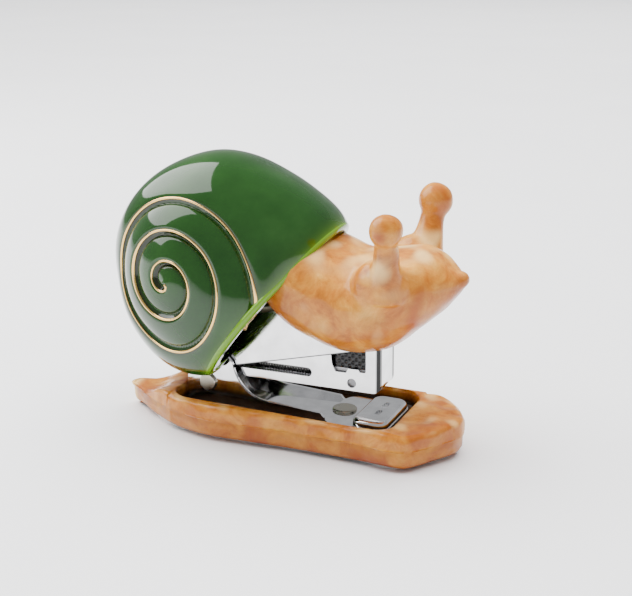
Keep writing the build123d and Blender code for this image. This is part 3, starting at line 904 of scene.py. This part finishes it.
def shell_glaze():
    """Deep green glaze, dark in the groove and lime where it thins at the lip."""
    material, tree, shader = new_material(
        "shell_glaze_look", Coat_Weight=0.7, Coat_Roughness=0.04, Specular_IOR_Level=0.1,
    )
    body = ramp(
        tree, place_noise(tree, 55.0, 5.0),
        (0.3, (0.006, 0.034, 0.004)), (0.55, (0.011, 0.050, 0.007)), (0.75, (0.018, 0.068, 0.011)),
    )
    deep = mix(tree, attribute(tree, "groove"), body, (0.010, 0.006, 0.001))
    set_colour(tree, shader, mix(tree, attribute(tree, "rim"), deep, (0.16, 0.34, 0.012)))
    set_roughness(tree, shader, place_noise(tree, 160.0), 0.3, 0.7, 0.06, 0.14)
    add_bump(tree, shader, place_noise(tree, 240.0, 3.0), 0.00005, 0.5)
    return material


def caramel_glaze(name):
    """Marbled honey glaze: pools orange near its lower edge and turns cream where the pieces paint it:
    pale glaze in places, painted highlight on high spots and rims.
    """
    material, tree, shader = new_material(
        name, Coat_Weight=0.45, Coat_Roughness=0.12, Specular_IOR_Level=0.15,
    )
    marble = place_noise(tree, 130.0, 8.0, 0.68, 0.5)
    base = ramp(
        tree, marble,
        (0.3, (0.30, 0.070, 0.004)), (0.45, (0.50, 0.165, 0.012)),
        (0.58, (0.62, 0.255, 0.028)), (0.75, (0.76, 0.40, 0.075)),
    )
    fine = place_noise(tree, 420.0, 5.0)
    speck = ramp(tree, fine, (0.35, (0.86, 0.86, 0.86)), (0.65, (1.0, 1.0, 1.0)))
    colour = mix(tree, 1.0, base, speck, "MULTIPLY")
    colour = mix(tree, attribute(tree, "pool"), colour, (0.30, 0.050, 0.003))
    colour = mix(tree, attribute(tree, "tray"), colour, (0.030, 0.014, 0.006))
    # Cream: painted highlight on high spots and rims, with some pale glaze patches.
    colour = mix(tree, attribute(tree, "cream_and_highlight"), colour, (0.92, 0.62, 0.24))
    set_colour(tree, shader, colour)
    set_roughness(tree, shader, marble, 0.3, 0.7, 0.3, 0.5)
    add_bump(tree, shader, place_noise(tree, 330.0, 4.0), 0.00012, 0.6)
    return material


def polished(name, colour, roughness, smudge):
    """Metal with smudges and fine rubbing marks."""
    material, tree, shader = new_material(name, Metallic=1.0)
    cloud = place_noise(tree, 180.0, 5.0)
    dull = tuple(c * 0.82 for c in colour)
    set_colour(tree, shader, ramp(tree, cloud, (0.35, dull), (0.65, colour)))
    set_roughness(tree, shader, cloud, 0.35, 0.7, roughness, roughness + smudge)
    stretch = {"Vector": object_place(tree), "Scale": (60.0, 900.0, 1800.0)}
    streaks = node(tree, "ShaderNodeMapping", stretch).outputs["Vector"]
    rub = node(tree, "ShaderNodeTexNoise", {"Vector": streaks, "Scale": 1.0, "Detail": 3.0})
    add_bump(tree, shader, rub.outputs["Fac"], 0.00001, 0.4)
    return material


def add_painted_shade(material, share):
    """Blends near-black painted shade into a metal's colour, by a share that its own nodes work out."""
    tree = material.node_tree
    base = tree.nodes["Principled BSDF"].inputs["Base Color"]
    tree.links.new(mix(tree, share, base.links[0].from_socket, PAINTED_SHADE), base)


def handle_chrome():
    """Chrome with painted shade along its lower edge, where the gap to the magazine lies."""
    material = polished("handle_look", CHROME, 0.05, 0.10)
    tree = material.node_tree
    up = (-math.sin(HANDLE_TILT), 0.0, math.cos(HANDLE_TILT))
    edge = float(np.dot(PIVOT, up)) + HANDLE_LOW
    rise = along_direction(tree, up)
    # Painted shade: near-black along the handle's lower edge, for the gap above the magazine.
    add_painted_shade(material, spread(tree, rise, (edge + 0.18) * MM, (edge + 0.42) * MM, 1.0, 0.0))
    return material


def magazine_chrome():
    """Chrome with a painted dark reflection in the bends at the front corners."""
    material = polished("magazine_look", CHROME, 0.05, 0.10)
    tree = material.node_tree
    ahead = (math.cos(MAGAZINE_TILT), 0.0, math.sin(MAGAZINE_TILT))
    across = node(tree, "ShaderNodeSeparateXYZ", {"Vector": object_place(tree)}).outputs["Y"]
    across = node(tree, "ShaderNodeMath", {0: across}, operation="ABSOLUTE").outputs["Value"]
    inputs = {0: along_direction(tree, ahead), 1: across}
    both = node(tree, "ShaderNodeMath", inputs, operation="ADD").outputs["Value"]
    corner = float(np.dot(PIVOT, ahead)) + MAGAZINE_FRONT + MAGAZINE_HALF_W
    # Painted dark reflection: near-black in the bends at the front corners.
    add_painted_shade(material, spread(tree, both, (corner - 1.5) * MM, (corner - 1.0) * MM))
    return material


def black_plastic(name, knurled):
    """Moulded black plastic, with diamond knurling or a fine grain."""
    material, tree, shader = new_material(name)
    cloud = place_noise(tree, 300.0, 4.0)
    set_colour(tree, shader, ramp(tree, cloud, (0.3, (0.008, 0.008, 0.009)), (0.7, (0.022, 0.022, 0.024))))
    set_roughness(tree, shader, cloud, 0.3, 0.7, 0.3, 0.5)
    if not knurled:
        add_bump(tree, shader, place_noise(tree, 2500.0, 2.0), 0.00003, 0.6)
        return material
    waves = []
    for lean in (math.pi / 4, -math.pi / 4):
        turn = {"Vector": object_place(tree), "Rotation": (0.0, lean, 0.0)}
        lines = {"Vector": node(tree, "ShaderNodeMapping", turn).outputs["Vector"], "Scale": 220.0}
        waves.append(node(tree, "ShaderNodeTexWave", lines, bands_direction="X").outputs["Fac"])
    diamond = node(tree, "ShaderNodeMath", {0: waves[0], 1: waves[1]}, operation="MULTIPLY")
    add_bump(tree, shader, diamond.outputs["Value"], 0.0003)
    return material


def felt(name, colour):
    """Short matted fibres."""
    material, tree, shader = new_material(name, Sheen_Weight=0.3)
    fibre = place_noise(tree, 1600.0, 6.0, 0.7, 2.0)
    dull = tuple(c * 0.78 for c in colour)
    set_colour(tree, shader, ramp(tree, fibre, (0.3, dull), (0.7, colour)))
    set_roughness(tree, shader, fibre, 0.3, 0.7, 0.8, 0.95)
    add_bump(tree, shader, fibre, 0.0001, 0.8)
    return material


def adhesive(name):
    """Cloudy set glue."""
    material, tree, shader = new_material(name, Subsurface_Weight=0.1)
    cloud = place_noise(tree, 350.0, 5.0)
    set_colour(tree, shader, ramp(tree, cloud, (0.3, (0.42, 0.38, 0.26)), (0.7, (0.62, 0.58, 0.44))))
    set_roughness(tree, shader, cloud, 0.3, 0.7, 0.35, 0.6)
    add_bump(tree, shader, cloud, 0.0002, 0.8)
    return material


# ---------------------------------------------------------------- pieces
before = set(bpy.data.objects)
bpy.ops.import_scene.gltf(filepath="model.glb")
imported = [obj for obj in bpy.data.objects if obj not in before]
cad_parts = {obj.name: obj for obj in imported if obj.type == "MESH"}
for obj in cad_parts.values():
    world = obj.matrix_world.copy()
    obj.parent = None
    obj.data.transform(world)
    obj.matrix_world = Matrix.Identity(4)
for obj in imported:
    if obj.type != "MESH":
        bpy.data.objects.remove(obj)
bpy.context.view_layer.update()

shell = build_shell()
points = coordinates(shell)
behind_lip = np.clip((LIP - points) @ APERTURE_OUT, 0, None)
paint(shell, "rim", 0.9 * np.exp(-behind_lip))
paint(shell, "groove", 0.8 * whorl_shape(points * np.where(points[:, 1:2] > 0, MIRROR, 1.0))[1])
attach(shell, "handle")
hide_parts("shell")

trims = build_gold(shell)

rim_bead = build_rim_bead()
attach(rim_bead, "handle")
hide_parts("shell")

head = build_head()
paint_head(head)
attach(head, "handle")
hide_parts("head")

foot = build_foot()
paint_foot(foot)
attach(foot, "base")
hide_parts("foot")

springs = build_follower_spring() + build_handle_spring() + build_leaf_spring()

chrome = polished("chrome_look", CHROME, 0.05, 0.10)
spring_steel = polished("spring_steel_look", (0.45, 0.44, 0.43), 0.22, 0.2)
rivet_steel = polished("rivet_steel_look", (0.50, 0.48, 0.40), 0.22, 0.2)
gold = polished("gold_look", (0.93, 0.60, 0.21), 0.16, 0.10)
green = shell_glaze()
PIECE_LOOKS = [(shell, green), (rim_bead, green)]
PIECE_LOOKS += [(head, caramel_glaze("head_glaze_look")), (foot, caramel_glaze("foot_glaze_look"))]
PIECE_LOOKS += [(piece, gold) for piece in trims] + [(piece, spring_steel) for piece in springs]
for piece, look in PIECE_LOOKS:
    piece.data.materials.clear()
    piece.data.materials.append(look)

# The CAD nodes that stay, with their looks
NODE_LOOKS = {
    "foot_pad": felt("felt_look", (0.86, 0.85, 0.82)),
    "base_glue_bed": adhesive("adhesive_look"),
    "handle_glue_bed": adhesive("adhesive_look_upper"),
    "base_plate": chrome,
    "anvil_plate": chrome,
    "magazine": magazine_chrome(),
    "handle": handle_chrome(),
    "staple_rail": polished("chrome_dark_look", (0.62, 0.62, 0.64), 0.15, 0.15),
    "anvil_rivet": rivet_steel,
    "leaf_spring_rivet": rivet_steel,
    "pivot_pin": rivet_steel,
    "driver_rivets": rivet_steel,
    "guide_rod": spring_steel,
    "driver_blade": spring_steel,
    # Painted shade: the staple wire is coloured dark grey for the staples lying in shadow inside the
    # magazine.
    "staple_strip": polished("staple_wire_painted_shade_look", (0.30, 0.30, 0.31), 0.3, 0.15),
    "rear_stop": black_plastic("stop_look", False),
    "follower": black_plastic("follower_look", False),
    "blade_guide_block": black_plastic("knurled_look", True),
}
for name, look in NODE_LOOKS.items():
    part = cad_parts[name]
    for place in part.material_slots:
        place.link = "OBJECT"
        place.material = look
    weld = part.modifiers.new("weld", "WELD")
    weld.merge_threshold = 1e-6
    if name != "foot_pad":
        bevel = part.modifiers.new("bevel", "BEVEL")
        bevel.width = BEVEL * MM
        bevel.segments = 2
        bevel.limit_method = "ANGLE"
        bevel.angle_limit = math.radians(35)


# ---------------------------------------------------------------- studio
def backdrop():
    """Pale floor that curves up far behind the object."""
    profile = [(FLOOR_NEAR, 0.0), (FLOOR_FAR, 0.0)]
    for t in np.linspace(0.05, math.pi / 2, 24):
        profile.append((FLOOR_FAR + SWEEP_R * math.sin(t), SWEEP_R - SWEEP_R * math.cos(t)))
    profile.append((FLOOR_FAR + SWEEP_R, WALL_TOP))
    turn = Matrix.Rotation(FLOOR_TURN, 3, "Z")
    points = [turn @ Vector((x, y, z)) for y, z in profile for x in (-FLOOR_HALF_W, FLOOR_HALF_W)]
    floor = make_object("floor", points, grid_faces(len(profile), 2, closed=False))
    material, tree, shader = new_material("floor_look", Specular_IOR_Level=0.25, Roughness=0.6)
    cloud = place_noise(tree, 6.0, 3.0)
    set_colour(tree, shader, ramp(tree, cloud, (0.3, (0.80, 0.80, 0.81)), (0.7, (0.83, 0.83, 0.84))))
    floor.data.materials.append(material)


def softbox(name, place, target, size, power, mirrored=True):
    """A rectangular soft light that faces a point. Places are in millimetres."""
    lamp = bpy.data.lights.new(name, "AREA")
    lamp.shape = "RECTANGLE"
    lamp.size = size[0] * MM
    lamp.size_y = size[1] * MM
    lamp.energy = power
    light = bpy.data.objects.new(name, lamp)
    bpy.context.scene.collection.objects.link(light)
    light.visible_glossy = mirrored
    light.location = Vector(place) * MM
    light.rotation_euler = (Vector(target) - Vector(place)).to_track_quat("-Z", "Y").to_euler()


def studio():
    world = bpy.data.worlds.new("studio")
    bpy.context.scene.world = world
    world.use_nodes = True
    background = world.node_tree.nodes["Background"]
    background.inputs["Color"].default_value = (0.93, 0.94, 0.96, 1.0)
    background.inputs["Strength"].default_value = 0.5
    softbox("overhead", (-100, 900, 2400), (0, 600, 0), (3200, 3600), 260.0, mirrored=False)
    softbox("key_left", (-560, -60, 560), (-20, 0, 40), (760, 700), 11.0)


def camera():
    """Camera at the photo's viewing angle."""
    east, north = math.sin(CAMERA_AZIMUTH), -math.cos(CAMERA_AZIMUTH)
    level = math.cos(CAMERA_ELEVATION)
    back = Vector((east * level, north * level, math.sin(CAMERA_ELEVATION)))
    flat = Vector((math.cos(CAMERA_AZIMUTH), math.sin(CAMERA_AZIMUTH), 0))
    right = flat * math.cos(CAMERA_ROLL) + back.cross(flat) * math.sin(CAMERA_ROLL)
    lens = bpy.data.cameras.new("camera")
    lens.lens = CAMERA_LENS
    lens.sensor_width = 36.0
    lens.clip_start = 0.01
    lens.clip_end = 50
    view = bpy.data.objects.new("camera", lens)
    bpy.context.scene.collection.objects.link(view)
    turn = Matrix((right, back.cross(right), back)).transposed().to_4x4()
    view.matrix_world = Matrix.Translation(Vector(CAMERA_PLACE) * MM) @ turn
    bpy.context.scene.camera = view


backdrop()
studio()
camera()
